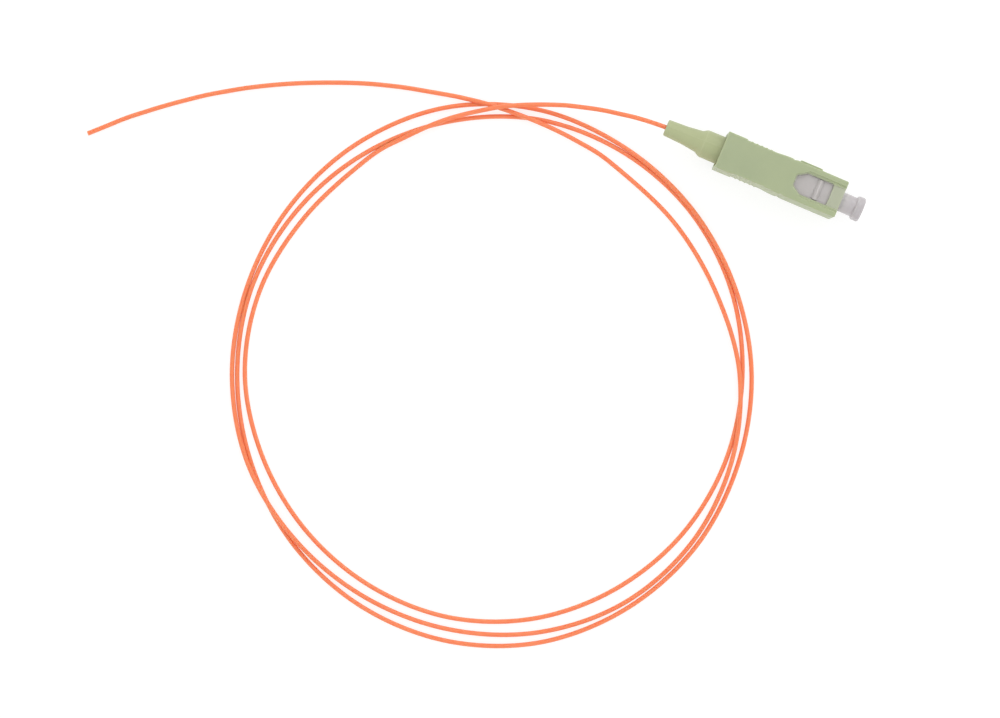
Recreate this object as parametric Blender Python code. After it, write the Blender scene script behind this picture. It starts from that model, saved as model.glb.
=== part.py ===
"""Fibre optic pigtail: a push-pull plug with its dust cap, on a metre of loosely coiled fibre with a bare end.

The plug lies on its narrow side with its grip's window up. +X is the way it is pushed home, +Y is the side
of its key and +Z is up. The origin is under the middle of the grip, on the surface that the pigtail lies on.
Sizes are in millimetres, and MM turns them into metres. The plug's own pieces are drawn about its axis.
"""
import math

import bmesh
import bpy
from mathutils import Vector

MM = 0.001

# Clearances
SLIDE_GAP = 0.15
SEAT_GAP = 0.2
FIBRE_GAP = 0.2
REST_GAP = 0.3
CUT_MARGIN = 1.0

# Fibre
FIBRE_DIAMETER = 0.9
FIBRE_LAYERS = 3

# Ferrule and its flange
FERRULE_DIAMETER = 2.5
FERRULE_LENGTH = 10.5
FERRULE_TIP_REACH = 0.6
FERRULE_TIP_TAPER = 0.6
FERRULE_TIP_FLAT = 1.8
FLANGE_DIAMETER = 4.2
FLANGE_THICKNESS = 1.6
FLANGE_SOCKET = 1.1
FLANGE_TAIL_DIAMETER = 2.1
FERRULE_FLOAT = 1.0

# Spring behind the flange
SPRING_MEAN_DIAMETER = 3.2
SPRING_WIRE = 0.5
SPRING_TURNS = 5
SPRING_POINTS_PER_TURN = 12
SPRING_WIRE_SIDES = 6

# Plug frame, the inner housing
FRAME_WIDTH = 5.8
FRAME_HEIGHT = 6.8
FRAME_CHAMFER = 0.5
FRAME_FRONT_SETBACK = 1.3
FRAME_LENGTH = 18.7
FRAME_BORE = 4.7
FRAME_SHOULDER_BACK = 7.3
FRAME_SHOULDER_THICKNESS = 1.0
LATCH_RIB_BACK = 2.95
LATCH_RIB_LENGTH = 1.4
LATCH_RIB_WIDTH = 4.0
LATCH_RIB_RISE = 0.5
LATCH_RIB_RAMP = 0.45

# Grip, the outer push-pull housing
GRIP_LENGTH = 25.0
GRIP_WIDTH = 7.4
GRIP_HEIGHT = 9.0
GRIP_EDGE_CHAMFER = 0.3
GRIP_CORNER_RADIUS = 0.3
CORNER_POINTS = 5
GRIP_TRAVEL = 1.8
RECESS_DEPTH = 0.2
RECESS_FROM_REAR = 3.8
RECESS_LENGTH = 6.2
RECESS_RAMP = 2.5
RIB_COUNT = 5
RIB_WIDTH = 0.5
RIB_PITCH = 1.0
RIB_RISE = 0.1
NOTCH_FROM_RAMP = 0.7
NOTCH_LENGTH = 1.1
NOTCH_DEPTH = 0.15
KEY_FROM_FRONT = 5.3
KEY_LENGTH = 4.6
KEY_WIDTH = 2.4
KEY_RISE = 0.6
WINDOW_FROM_FRONT = 2.4
WINDOW_LENGTH = 7.25
WINDOW_WIDTH = 4.3
WINDOW_CORNER_RADIUS = 0.5
WINDOW_POINT_LENGTH = 1.8
WINDOW_POINT_WIDTH = 2.0
CHANNEL_WIDTH = 5.3
CHANNEL_DEPTH = 0.3
BRIDGE_DEPTH = 0.5
LEDGE_FROM_REAR = 8.5
LEDGE_LENGTH = 3.0
LEDGE_WIDTH = 2.4
LEDGE_RISE = 0.4

# Rear body, which closes the frame behind the spring
REAR_PLUG_LENGTH = 3.9
REAR_COLLAR_DIAMETER = 5.7
REAR_COLLAR_THICKNESS = 0.6
REAR_BARREL_DIAMETER = 3.4
REAR_BARREL_LENGTH = 4.6

# Boot
BOOT_LENGTH = 15.5
BOOT_ROOT_DIAMETER = 5.65
BOOT_STEP_DIAMETER = 5.5
BOOT_STEP_FROM_END = 7.9
BOOT_STEP_RAMP = 1.0
BOOT_NECK_DIAMETER = 4.35
BOOT_WAIST_FROM_END = 4.0
BOOT_WAIST_DIAMETER = 3.65
BOOT_END_DIAMETER = 3.25

# Dust cap
CAP_BARREL_DIAMETER = 3.85
CAP_FLANGE_DIAMETER = 4.85
CAP_FLANGE_LENGTH = 1.65
CAP_LENGTH = 10.2
CAP_OVERHANG = 4.7
CAP_CHAMFER = 0.25
CAP_BORE_GAP = 0.15
CAP_FLOOR_GAP = 0.3

# Coil of fibre, seen from above
COIL_CENTRE = (-36.3, -57.4)
COIL_TURN_RADIUS = 49.7
COIL_SPREAD = 8.0
COIL_EDGE = 0.45

# Loose runs of fibre, as chosen points in space
LEAD_ROUTE = [
    (-26.0, -0.1, 4.4), (-28.5, -0.3, 4.2), (-30.9, -0.6, 4.0), (-33.2, -1.0, 3.7), (-35.6, -1.4, 3.4),
    (-37.9, -1.9, 3.1), (-40.2, -2.5, 2.8), (-42.4, -3.1, 2.5), (-44.0, -3.6, 2.35),
]
TAIL_ROUTE = [
    (-63.0, -9.9, 0.8), (-65.9, -10.5, 0.7), (-69.8, -11.4, 0.55), (-73.6, -12.3, 0.5), (-77.4, -13.4, 0.5),
    (-81.1, -14.6, 0.5), (-84.8, -16.0, 0.5), (-88.4, -17.5, 0.5), (-92.0, -19.1, 0.5), (-95.5, -20.8, 0.5),
    (-98.9, -22.6, 0.5), (-102.4, -24.6, 0.5), (-105.7, -26.7, 0.5), (-109.0, -28.9, 0.5), (-112.2, -31.3, 0.5),
    (-115.4, -33.8, 0.5), (-118.5, -36.4, 0.5), (-121.6, -39.1, 0.5), (-124.6, -42.1, 0.5), (-127.3, -44.8, 0.5),
]
ROUTE_SPACING_DIAMETERS = 2.5

# Roundness of turned pieces
FINE_SIDES = 32
SMALL_SIDES = 20
COIL_SIDES = 72
TUBE_BEVEL_RESOLUTION = 2
SHARP_EDGE = math.radians(32)

# Colours of the materials
BEIGE_GRIP = (0.41, 0.47, 0.30)
BEIGE_BOOT = (0.46, 0.50, 0.30)
MILKY_FRAME = (0.62, 0.60, 0.60)
MILKY_CAP = (0.60, 0.55, 0.57)
ZIRCONIA_WHITE = (0.88, 0.88, 0.86)
NICKEL_PLATE = (0.62, 0.60, 0.57)
SPRING_STEEL = (0.55, 0.55, 0.56)
ORANGE_BUFFER = (0.86, 0.27, 0.13)

# Places along the plug's axis, worked out from the sizes above
AXIS_HEIGHT = GRIP_HEIGHT / 2
GRIP_FRONT = GRIP_LENGTH / 2
GRIP_REAR = -GRIP_LENGTH / 2
WINDOW_FRONT = GRIP_FRONT - WINDOW_FROM_FRONT
WINDOW_REAR = WINDOW_FRONT - WINDOW_LENGTH
LEDGE_REAR = GRIP_REAR + LEDGE_FROM_REAR
LEDGE_FRONT = LEDGE_REAR + LEDGE_LENGTH
FRAME_FRONT = GRIP_FRONT - FRAME_FRONT_SETBACK
FRAME_REAR = FRAME_FRONT - FRAME_LENGTH
SHOULDER_REAR = FRAME_FRONT - FRAME_SHOULDER_BACK
SHOULDER_FRONT = SHOULDER_REAR + FRAME_SHOULDER_THICKNESS
FERRULE_TIP = GRIP_FRONT + FERRULE_TIP_REACH
FERRULE_END = FERRULE_TIP - FERRULE_LENGTH
FLANGE_FRONT = SHOULDER_REAR - SEAT_GAP
FLANGE_REAR = FLANGE_FRONT - FLANGE_THICKNESS
COLLAR_FRONT = FRAME_REAR - SEAT_GAP
COLLAR_REAR = COLLAR_FRONT - REAR_COLLAR_THICKNESS
REAR_PLUG_FRONT = COLLAR_FRONT + REAR_PLUG_LENGTH
FLANGE_TAIL_END = REAR_PLUG_FRONT + FERRULE_FLOAT + SEAT_GAP
REAR_BARREL_END = COLLAR_REAR - REAR_BARREL_LENGTH
BOOT_FRONT = COLLAR_REAR - SEAT_GAP
BOOT_END = BOOT_FRONT - BOOT_LENGTH
CAP_FRONT = GRIP_FRONT + CAP_OVERHANG
CAP_REAR = CAP_FRONT - CAP_LENGTH
FIBRE_BORE = FIBRE_DIAMETER + 2 * FIBRE_GAP
CAVITY_WIDTH = FRAME_WIDTH + 2 * SLIDE_GAP
CAVITY_HEIGHT = FRAME_HEIGHT + 2 * SLIDE_GAP


def clear_scene():
    """Removes whatever objects the file holds."""
    for thing in list(bpy.data.objects):
        bpy.data.objects.remove(thing, do_unlink=True)


def make_material(name, colour, roughness, metallic=0.0):
    """One plain surface material."""
    surface = bpy.data.materials.new(name)
    surface.use_nodes = True
    shader = surface.node_tree.nodes["Principled BSDF"]
    shader.inputs["Base Color"].default_value = (*colour, 1.0)
    shader.inputs["Roughness"].default_value = roughness
    shader.inputs["Metallic"].default_value = metallic
    return surface


def make_axis():
    """The empty on the plug's axis that its pieces hang from; its moving pieces slide along it."""
    axis = bpy.data.objects.new("plug_axis", None)
    axis.location = (0.0, 0.0, AXIS_HEIGHT * MM)
    bpy.context.collection.objects.link(axis)
    return axis


def add_mesh(name, points, faces, parent=None):
    """A mesh object from points in millimetres."""
    mesh = bpy.data.meshes.new(name)
    mesh.from_pydata([Vector(point) * MM for point in points], [], faces)
    work = bmesh.new()
    work.from_mesh(mesh)
    bmesh.ops.recalc_face_normals(work, faces=work.faces)
    work.to_mesh(mesh)
    work.free()
    thing = bpy.data.objects.new(name, mesh)
    thing.parent = parent
    bpy.context.collection.objects.link(thing)
    return thing


def add_prism(name, outline, low, high, place, parent=None):
    """An outline drawn in two coordinates and carried from low to high along the third."""
    count = len(outline)
    points = [place(a, b, low) for a, b in outline] + [place(a, b, high) for a, b in outline]
    sides = [(i, (i + 1) % count, count + (i + 1) % count, count + i) for i in range(count)]
    caps = [tuple(range(count)), tuple(range(count, 2 * count))]
    return add_mesh(name, points, sides + caps, parent)


def upward(x, y, z):
    """Places a plan outline, carried up."""
    return x, y, z


def forward(y, z, x):
    """Places a cross-section, carried along the plug."""
    return x, y, z


def sideways(x, z, y):
    """Places a side view, carried across the plug."""
    return x, y, z


def add_box(name, x_range, y_range, z_range, parent=None):
    """A box between pairs of low and high values."""
    (x0, x1), (y0, y1) = x_range, y_range
    return add_prism(name, [(x0, y0), (x1, y0), (x1, y1), (x0, y1)], *z_range, upward, parent)


def add_turned(name, profile, sides, parent=None):
    """A profile of (x, radius) points turned about the plug's axis; it ends on the axis or closes on itself."""
    points, rings = [], []
    for x, radius in profile:
        if radius == 0:
            rings.append([len(points)])
            points.append((x, 0.0, 0.0))
            continue
        rings.append(range(len(points), len(points) + sides))
        for i in range(sides):
            angle = math.tau * (i + 0.5) / sides
            points.append((x, radius * math.cos(angle), radius * math.sin(angle)))
    closed = len(rings[0]) > 1
    pairs = list(zip(rings, rings[1:])) + ([(rings[-1], rings[0])] if closed else [])
    faces = []
    for first, second in pairs:
        for i in range(sides):
            near = [first[i % len(first)], first[(i + 1) % len(first)]]
            far = [second[(i + 1) % len(second)], second[i % len(second)]]
            faces.append(tuple(dict.fromkeys(near + far)))
    thing = add_mesh(name, points, faces, parent)
    smooth(thing)
    return thing


def smooth(thing):
    """Shades round stretches smooth and keeps the real edges sharp."""
    thing.data.shade_smooth()
    thing.data.set_sharp_from_angle(angle=SHARP_EDGE)


def combine(target, operation, helper):
    """Adds a Boolean with a helper solid, which stays in the file as a wire."""
    modifier = target.modifiers.new(helper.name, "BOOLEAN")
    modifier.operation = operation
    modifier.object = helper
    modifier.solver = "EXACT"
    helper.hide_render = True
    helper.display_type = "WIRE"


def wear(thing, surface):
    """Gives a piece its material."""
    thing.data.materials.append(surface)
    return thing


def chamfered(width, height, chamfer):
    """A rectangle about the origin with its corners cut off."""
    a, b = width / 2, height / 2
    return [
        (a - chamfer, -b), (a, -b + chamfer), (a, b - chamfer), (a - chamfer, b),
        (-a + chamfer, b), (-a, b - chamfer), (-a, -b + chamfer), (-a + chamfer, -b),
    ]


def front_corner(front, side, radius):
    """The points of a rounded corner between a side and a front, from the side to the front."""
    corner = []
    for i in range(CORNER_POINTS):
        angle = math.pi / 2 * i / (CORNER_POINTS - 1)
        corner.append((front - radius * (1 - math.sin(angle)), side - radius * (1 - math.cos(angle))))
    return corner


def grip_side():
    """One long side of the grip in plan, rear to front: its collar, its ribbed recess, the ramp and a notch."""
    out = GRIP_WIDTH / 2
    deep = out - RECESS_DEPTH
    start = GRIP_REAR + RECESS_FROM_REAR
    end = start + RECESS_LENGTH
    first = (start + end - (RIB_COUNT - 1) * RIB_PITCH) / 2
    side = [(GRIP_REAR, out), (start, out), (start, deep)]
    for i in range(RIB_COUNT):
        middle = first + i * RIB_PITCH
        low, high = middle - RIB_WIDTH / 2, middle + RIB_WIDTH / 2
        side += [(low, deep), (low, deep + RIB_RISE), (high, deep + RIB_RISE), (high, deep)]
    notch = end + RECESS_RAMP + NOTCH_FROM_RAMP
    side += [(end, deep), (end + RECESS_RAMP, out), (notch, out)]
    return side + [(notch + NOTCH_LENGTH / 2, out - NOTCH_DEPTH), (notch + NOTCH_LENGTH, out)]


def grip_plan():
    """The grip from above, with a little radius on its two front corners."""
    key_side = grip_side() + front_corner(GRIP_FRONT, GRIP_WIDTH / 2, GRIP_CORNER_RADIUS)
    plain_side = [(x, -y) for x, y in key_side]
    return plain_side + key_side[::-1]


def window_plan():
    """The latch window: square with rounded corners in front, and drawn to a blunt point behind."""
    wide, narrow = WINDOW_WIDTH / 2, WINDOW_POINT_WIDTH / 2
    full = WINDOW_REAR + WINDOW_POINT_LENGTH
    key_side = [(WINDOW_REAR, narrow), (full, wide), *front_corner(WINDOW_FRONT, wide, WINDOW_CORNER_RADIUS)]
    plain_side = [(x, -y) for x, y in key_side]
    return plain_side + key_side[::-1]


def make_grip(axis, surface):
    """The outer housing: a sleeve with a key, two latch windows, and ledges that hold it on the frame."""
    half = GRIP_HEIGHT / 2
    grip = add_prism("grip", grip_plan(), -half, half, upward, axis)
    section = chamfered(GRIP_WIDTH, GRIP_HEIGHT, GRIP_EDGE_CHAMFER)
    ends = (GRIP_REAR - CUT_MARGIN, GRIP_FRONT + CUT_MARGIN)
    combine(grip, "INTERSECT", add_prism("grip_section", section, *ends, forward, axis))
    key_rear = GRIP_FRONT - KEY_FROM_FRONT - KEY_LENGTH
    key_reach = (GRIP_WIDTH / 2 - RECESS_DEPTH, GRIP_WIDTH / 2 + KEY_RISE)
    key_band = (-KEY_WIDTH / 2, KEY_WIDTH / 2)
    combine(grip, "UNION", add_box("grip_key", (key_rear, key_rear + KEY_LENGTH), key_reach, key_band, axis))
    across = (-CAVITY_WIDTH / 2, CAVITY_WIDTH / 2)
    tall = (-CAVITY_HEIGHT / 2, CAVITY_HEIGHT / 2)
    combine(grip, "DIFFERENCE", add_box("grip_cavity", ends, across, tall, axis))
    beyond = half + CUT_MARGIN
    combine(grip, "DIFFERENCE", add_prism("grip_window", window_plan(), -beyond, beyond, upward, axis))
    channel_run = (WINDOW_REAR + WINDOW_POINT_LENGTH, GRIP_FRONT + CUT_MARGIN)
    channel_band = (-CHANNEL_WIDTH / 2, CHANNEL_WIDTH / 2)
    bridge_run = (WINDOW_FRONT - CUT_MARGIN, GRIP_FRONT + CUT_MARGIN)
    bridge_band = (-WINDOW_WIDTH / 2, WINDOW_WIDTH / 2)
    for label, sign in (("upper", 1), ("lower", -1)):
        channel = sorted((sign * (half - CHANNEL_DEPTH), sign * beyond))
        combine(grip, "DIFFERENCE", add_box(f"grip_channel_{label}", channel_run, channel_band, channel, axis))
        bridge = sorted((sign * (half - BRIDGE_DEPTH), sign * beyond))
        combine(grip, "DIFFERENCE", add_box(f"grip_bridge_{label}", bridge_run, bridge_band, bridge, axis))
        inner = CAVITY_HEIGHT / 2 - LEDGE_RISE
        ledge = sorted((sign * inner, sign * (half + CAVITY_HEIGHT / 2) / 2))
        band = (-LEDGE_WIDTH / 2, LEDGE_WIDTH / 2)
        combine(grip, "UNION", add_box(f"grip_ledge_{label}", (LEDGE_REAR, LEDGE_FRONT), band, ledge, axis))
    return wear(grip, surface)


def make_plug_frame(axis, surface):
    """The inner housing: bored from both ends to a shoulder, with a latch rib and a ledge groove on two sides."""
    section = chamfered(FRAME_WIDTH, FRAME_HEIGHT, FRAME_CHAMFER)
    frame = add_prism("plug_frame", section, FRAME_REAR, FRAME_FRONT, forward, axis)
    wide, hole = FRAME_BORE / 2, FERRULE_DIAMETER / 2 + SEAT_GAP
    bore = [
        (FRAME_REAR - CUT_MARGIN, 0), (FRAME_REAR - CUT_MARGIN, wide), (SHOULDER_REAR, wide), (SHOULDER_REAR, hole),
        (SHOULDER_FRONT, hole), (SHOULDER_FRONT, wide), (FRAME_FRONT + CUT_MARGIN, wide), (FRAME_FRONT + CUT_MARGIN, 0),
    ]
    combine(frame, "DIFFERENCE", add_turned("frame_bore", bore, FINE_SIDES, axis))
    half = FRAME_HEIGHT / 2
    rib_front = FRAME_FRONT - LATCH_RIB_BACK
    groove_run = (LEDGE_REAR - GRIP_TRAVEL - SLIDE_GAP, LEDGE_FRONT + SLIDE_GAP)
    groove_band = (-LEDGE_WIDTH / 2 - SLIDE_GAP, LEDGE_WIDTH / 2 + SLIDE_GAP)
    rib_rear = rib_front - LATCH_RIB_LENGTH
    rib_band = (-LATCH_RIB_WIDTH / 2, LATCH_RIB_WIDTH / 2)
    for label, sign in (("upper", 1), ("lower", -1)):
        root, face, top = sign * (half - FRAME_CHAMFER / 2), sign * half, sign * (half + LATCH_RIB_RISE)
        rib = [
            (rib_rear, root), (rib_front, root), (rib_front, face), (rib_front - LATCH_RIB_RAMP, top),
            (rib_rear + LATCH_RIB_RAMP, top), (rib_rear, face),
        ]
        combine(frame, "UNION", add_prism(f"frame_rib_{label}", rib, *rib_band, sideways, axis))
        groove = sorted((sign * (half - LEDGE_RISE), sign * (half + CUT_MARGIN)))
        combine(frame, "DIFFERENCE", add_box(f"frame_groove_{label}", groove_run, groove_band, groove, axis))
    return wear(frame, surface)


def make_ferrule(axis, surface):
    """The ceramic pin that carries the glass fibre, with its tip turned down."""
    full, tip = FERRULE_DIAMETER / 2, FERRULE_TIP_FLAT / 2
    profile = [
        (FERRULE_END, 0), (FERRULE_END, full), (FERRULE_TIP - FERRULE_TIP_TAPER, full), (FERRULE_TIP, tip),
        (FERRULE_TIP, 0),
    ]
    return wear(add_turned("ferrule", profile, FINE_SIDES, axis), surface)


def make_flange(axis, surface):
    """The metal flange that the ferrule is pressed into, with the tail tube that the fibre enters."""
    socket = FERRULE_DIAMETER / 2 + SLIDE_GAP
    socket_floor = FERRULE_END - SLIDE_GAP
    bore, tail, rim = FIBRE_BORE / 2, FLANGE_TAIL_DIAMETER / 2, FLANGE_DIAMETER / 2
    profile = [
        (FLANGE_FRONT, rim), (FLANGE_REAR, rim), (FLANGE_REAR, tail), (FLANGE_TAIL_END, tail),
        (FLANGE_TAIL_END, bore), (socket_floor, bore), (socket_floor, socket), (FLANGE_FRONT, socket),
    ]
    return wear(add_turned("ferrule_flange", profile, SMALL_SIDES, axis), surface)


def make_spring(axis, surface):
    """The compression spring between the rear body and the flange."""
    low = REAR_PLUG_FRONT + SEAT_GAP + SPRING_WIRE / 2
    high = FLANGE_REAR - SEAT_GAP - SPRING_WIRE / 2
    steps = SPRING_TURNS * SPRING_POINTS_PER_TURN
    radius, wire = SPRING_MEAN_DIAMETER / 2, SPRING_WIRE / 2
    lean = math.atan2((high - low) / SPRING_TURNS, math.tau * radius)
    points, faces = [], []
    for i in range(steps + 1):
        angle = math.tau * i / SPRING_POINTS_PER_TURN
        outward = Vector((0.0, math.cos(angle), math.sin(angle)))
        around = Vector((0.0, -math.sin(angle), math.cos(angle)))
        along = Vector((1.0, 0.0, 0.0))
        middle = along * (low + (high - low) * i / steps) + outward * radius
        upper = along * math.cos(lean) - around * math.sin(lean)
        for j in range(SPRING_WIRE_SIDES):
            turn = math.tau * j / SPRING_WIRE_SIDES
            points.append(middle + (outward * math.cos(turn) + upper * math.sin(turn)) * wire)
    n = SPRING_WIRE_SIDES
    for i in range(steps):
        for j in range(n):
            k = (j + 1) % n
            faces.append((i * n + j, i * n + k, (i + 1) * n + k, (i + 1) * n + j))
    faces += [tuple(range(n)), tuple(range(steps * n, (steps + 1) * n))]
    spring = add_mesh("ferrule_spring", points, faces, axis)
    smooth(spring)
    return wear(spring, surface)


def make_rear_body(axis, surface):
    """The stop that closes the frame behind the spring, with the barrel that the boot is pushed over."""
    bore, collar, barrel = FIBRE_BORE / 2, REAR_COLLAR_DIAMETER / 2, REAR_BARREL_DIAMETER / 2
    inside = FRAME_BORE / 2 - SEAT_GAP
    profile = [
        (REAR_PLUG_FRONT, bore), (REAR_PLUG_FRONT, inside), (COLLAR_FRONT, inside), (COLLAR_FRONT, collar),
        (COLLAR_REAR, collar), (COLLAR_REAR, barrel), (REAR_BARREL_END, barrel), (REAR_BARREL_END, bore),
    ]
    return wear(add_turned("rear_body", profile, SMALL_SIDES, axis), surface)


def make_boot(axis, surface):
    """The soft bend relief: wide where it enters the grip, stepped in, then drawn in along the fibre."""
    over_barrel = REAR_BARREL_DIAMETER / 2 + SLIDE_GAP
    pocket_end = REAR_BARREL_END - SEAT_GAP
    bore = FIBRE_BORE / 2
    step = BOOT_END + BOOT_STEP_FROM_END
    profile = [
        (BOOT_FRONT, over_barrel), (BOOT_FRONT, BOOT_ROOT_DIAMETER / 2), (step, BOOT_STEP_DIAMETER / 2),
        (step - BOOT_STEP_RAMP, BOOT_NECK_DIAMETER / 2), (BOOT_END + BOOT_WAIST_FROM_END, BOOT_WAIST_DIAMETER / 2),
        (BOOT_END, BOOT_END_DIAMETER / 2), (BOOT_END, bore), (pocket_end, bore), (pocket_end, over_barrel),
    ]
    return wear(add_turned("boot", profile, FINE_SIDES, axis), surface)


def make_dust_cap(axis, surface):
    """The milky cap over the ferrule: a blind barrel inside the frame and a chamfered finger flange outside."""
    barrel, flange = CAP_BARREL_DIAMETER / 2, CAP_FLANGE_DIAMETER / 2
    bore = FERRULE_DIAMETER / 2 + CAP_BORE_GAP
    floor = FERRULE_TIP + CAP_FLOOR_GAP
    flange_rear = CAP_FRONT - CAP_FLANGE_LENGTH
    profile = [
        (floor, 0), (floor, bore), (CAP_REAR, bore), (CAP_REAR, barrel), (flange_rear, barrel),
        (flange_rear, flange - CAP_CHAMFER), (flange_rear + CAP_CHAMFER, flange), (CAP_FRONT - CAP_CHAMFER, flange),
        (CAP_FRONT, flange - CAP_CHAMFER), (CAP_FRONT, 0),
    ]
    return wear(add_turned("dust_cap", profile, FINE_SIDES, axis), surface)


def smooth_points(chosen, spacing):
    """Evenly spaced points along the smooth curve through the chosen ones."""
    points = [Vector(point) for point in chosen]
    padded = [2 * points[0] - points[1], *points, 2 * points[-1] - points[-2]]
    fine = []
    steps = 12
    for before, start, end, after in zip(padded, padded[1:], padded[2:], padded[3:]):
        for i in range(steps):
            t = i / steps
            fine.append(0.5 * (
                2 * start + (end - before) * t + (2 * before - 5 * start + 4 * end - after) * t ** 2
                + (3 * start - before - 3 * end + after) * t ** 3
            ))
    fine.append(points[-1])
    reach = [0.0]
    for near, far in zip(fine, fine[1:]):
        reach.append(reach[-1] + (far - near).length)
    count = max(2, round(reach[-1] / spacing))
    even, k = [], 0
    for i in range(count + 1):
        goal = reach[-1] * i / count
        while k < len(fine) - 2 and reach[k + 1] < goal:
            k += 1
        share = (goal - reach[k]) / (reach[k + 1] - reach[k])
        even.append(fine[k].lerp(fine[k + 1], min(1.0, share)))
    return even


def make_fibre_run(name, points, surface):
    """A stretch of coated fibre as a round tube with closed ends."""
    curve = bpy.data.curves.new(name, "CURVE")
    curve.dimensions = "3D"
    curve.bevel_depth = FIBRE_DIAMETER / 2 * MM
    curve.bevel_resolution = TUBE_BEVEL_RESOLUTION
    curve.use_fill_caps = True
    spline = curve.splines.new("POLY")
    spline.points.add(len(points) - 1)
    for target, point in zip(spline.points, points):
        target.co = (*(Vector(point) * MM), 1.0)
    run = bpy.data.objects.new(name, curve)
    bpy.context.collection.objects.link(run)
    return wear(run, surface)


def make_fibre(surface):
    """The fibre inside the plug, its two loose runs, and the ring that its turns lie in."""
    inner_end = FERRULE_END - SLIDE_GAP - FERRULE_FLOAT - REST_GAP
    make_fibre_run("fibre_in_plug", [(BOOT_END, 0.0, AXIS_HEIGHT), (inner_end, 0.0, AXIS_HEIGHT)], surface)
    spacing = ROUTE_SPACING_DIAMETERS * FIBRE_DIAMETER
    lead_start = (BOOT_END - REST_GAP, 0.0, AXIS_HEIGHT)
    make_fibre_run("fibre_lead", smooth_points([lead_start, *LEAD_ROUTE], spacing), surface)
    make_fibre_run("fibre_tail", smooth_points(TAIL_ROUTE, spacing), surface)
    make_coil(surface)


def make_coil(surface):
    """A ring of the outer shape of the three loose turns."""
    height = FIBRE_LAYERS * FIBRE_DIAMETER
    inner = COIL_TURN_RADIUS - COIL_SPREAD / 2
    outer = COIL_TURN_RADIUS + COIL_SPREAD / 2
    profile = [
        (outer - COIL_EDGE, height), (outer, height - COIL_EDGE), (outer, COIL_EDGE), (outer - COIL_EDGE, 0.0),
        (inner + COIL_EDGE, 0.0), (inner, COIL_EDGE), (inner, height - COIL_EDGE), (inner + COIL_EDGE, height),
    ]
    points, faces = [], []
    for i in range(COIL_SIDES):
        angle = math.tau * i / COIL_SIDES
        for radius, z in profile:
            x = COIL_CENTRE[0] + radius * math.cos(angle)
            points.append((x, COIL_CENTRE[1] + radius * math.sin(angle), z))
    n = len(profile)
    for i in range(COIL_SIDES):
        near, far = i * n, (i + 1) % COIL_SIDES * n
        faces += [(near + j, near + (j + 1) % n, far + (j + 1) % n, far + j) for j in range(n)]
    coil = add_mesh("fibre_coil", points, faces)
    smooth(coil)
    return wear(coil, surface)


def main():
    """Builds every piece of the pigtail."""
    clear_scene()
    axis = make_axis()
    make_grip(axis, make_material("beige_grip_plastic", BEIGE_GRIP, 0.42))
    make_plug_frame(axis, make_material("milky_frame_plastic", MILKY_FRAME, 0.35))
    make_ferrule(axis, make_material("zirconia", ZIRCONIA_WHITE, 0.15))
    make_flange(axis, make_material("nickel_plate", NICKEL_PLATE, 0.25, 1.0))
    make_spring(axis, make_material("spring_steel", SPRING_STEEL, 0.3, 1.0))
    make_rear_body(axis, make_material("beige_body_plastic", BEIGE_GRIP, 0.4))
    make_boot(axis, make_material("beige_boot_rubber", BEIGE_BOOT, 0.6))
    make_dust_cap(axis, make_material("milky_cap_plastic", MILKY_CAP, 0.4))
    make_fibre(make_material("orange_buffer", ORANGE_BUFFER, 0.4))
    bpy.context.view_layer.update()


main()
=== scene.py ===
"""Looks of the fibre optic pigtail: the camera and light, the whole fibre, and the plug's pieces in detail.

Lengths are in millimetres and MM turns them into metres. +X is the way the plug is pushed home, +Y is the side
of its key, +Z is up, and the pigtail lies on the floor at zero height. The plug's pieces are drawn about its
axis, and their ends come from the CAD nodes that they stand for.
"""
import math

import bmesh
import bpy
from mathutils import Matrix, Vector


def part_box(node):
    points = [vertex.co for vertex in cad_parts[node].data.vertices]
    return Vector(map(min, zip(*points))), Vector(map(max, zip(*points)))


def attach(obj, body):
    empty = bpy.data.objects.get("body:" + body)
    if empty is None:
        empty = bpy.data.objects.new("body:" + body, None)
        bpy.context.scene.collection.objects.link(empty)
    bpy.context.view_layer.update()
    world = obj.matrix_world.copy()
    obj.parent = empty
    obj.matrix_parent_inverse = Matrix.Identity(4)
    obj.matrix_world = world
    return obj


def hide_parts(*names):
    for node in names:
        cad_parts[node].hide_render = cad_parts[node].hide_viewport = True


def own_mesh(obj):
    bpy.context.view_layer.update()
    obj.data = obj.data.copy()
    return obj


MM = 0.001

# Camera: straight down, over the middle of the photograph, 1000 pixels wide
CAMERA_HEIGHT = 575.0
PIXELS_PER_MM = 5.12
IMAGE_WIDTH = 1000
SENSOR_WIDTH = 36.0
CLIP_RANGE = (10, 20000)
PLUG_TURN = math.radians(23.0)
GRIP_IN_PHOTO = (54.25, 35.5)

# Light, in metres and watts
SKY_OVERHEAD = 1.0
SKY_AT_HORIZON = 0.8
SKY_FULL_FROM = 0.6
KEY_LAMP_PLACE = (0.05, 0.8, 0.65)
KEY_LAMP_SIZE = 0.4
KEY_LAMP_POWER = 1.6
FLOOR_SIZE = 6.0
FLOOR_MIDDLE = (-0.04, -0.05, 0.0)
FLOOR_ROUGHNESS = 0.9
FLOOR_WHITE = 0.3
FLOOR_GLOW = 0.75

# Fibre
FIBRE_DIAMETER = 0.9
FIBRE_STEP = 1.0
FIBRE_BEVEL_RESOLUTION = 6
FIBRE_INSIDE = 1.0
GLASS_DIAMETER = 0.125
COATING_DIAMETER = 0.25
GLASS_STANDS_OUT = 0.03
CUT_END_DEPTH = 0.3
CUT_END_ROUND = 0.01
CUT_END_SIDES = 24

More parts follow.
